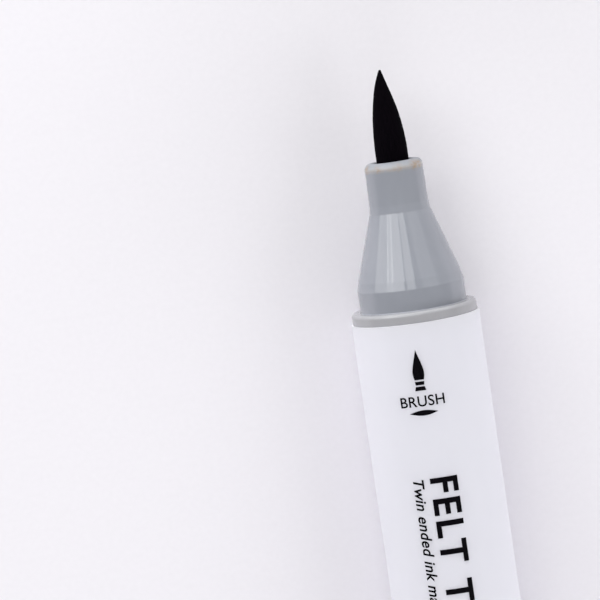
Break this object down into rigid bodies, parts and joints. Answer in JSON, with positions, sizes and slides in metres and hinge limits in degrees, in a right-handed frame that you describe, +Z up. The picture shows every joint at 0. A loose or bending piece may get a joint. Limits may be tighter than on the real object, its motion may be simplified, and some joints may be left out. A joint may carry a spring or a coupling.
{
  "type": "felt tip marker",
  "caption": "Twin tip felt marker with a round barrel, an uncapped brush nib at one end and a capped chisel nib at the other; the pulled-off cap lies in line.",
  "frame": {"origin": "on the table, under the middle of the whole part: the marker and the brush cap that lies ahead of it", "axes": "+Y along the pen's axis toward the brush nib, +Z up from the table it lies on, +X to the right with the nib pointing away"},
  "size_m": [0.0154, 0.2022, 0.0153],
  "materials": {
    "barrel_white": "satin",
    "nozzle_grey": "gloss",
    "cap_grey": "satin",
    "liner_natural": "satin",
    "ink_colour": "satin",
    "nib_felt": "matt",
    "chisel_felt": "matt",
    "ink_fibre": "matt",
    "print_ink": "satin",
    "clear_film": "gloss"
  },
  "bodies": {
    "pen": {"barrel": "barrel_white", "brush_nozzle": "nozzle_grey", "chisel_nozzle": "nozzle_grey", "brush_nib": "nib_felt", "chisel_nib": "chisel_felt", "ink_reservoir": "ink_fibre", "reservoir_film": "clear_film"},
    "brush_cap": {"brush_cap": "cap_grey", "brush_cap_liner": "liner_natural", "brush_cap_end_plug": "ink_colour"},
    "chisel_cap": {"chisel_cap": "cap_grey", "chisel_cap_liner": "liner_natural", "chisel_cap_end_plug": "ink_colour"}
  },
  "joints": [
    {"name": "brush_cap_pull", "type": "slide", "parent": "pen", "child": "brush_cap", "axis": [0, 1, 0], "range_m": [-0.05215, 0]},
    {"name": "chisel_cap_pull", "type": "slide", "parent": "pen", "child": "chisel_cap", "axis": [0, -1, 0], "range_m": [0, 0.035]}
  ]
}
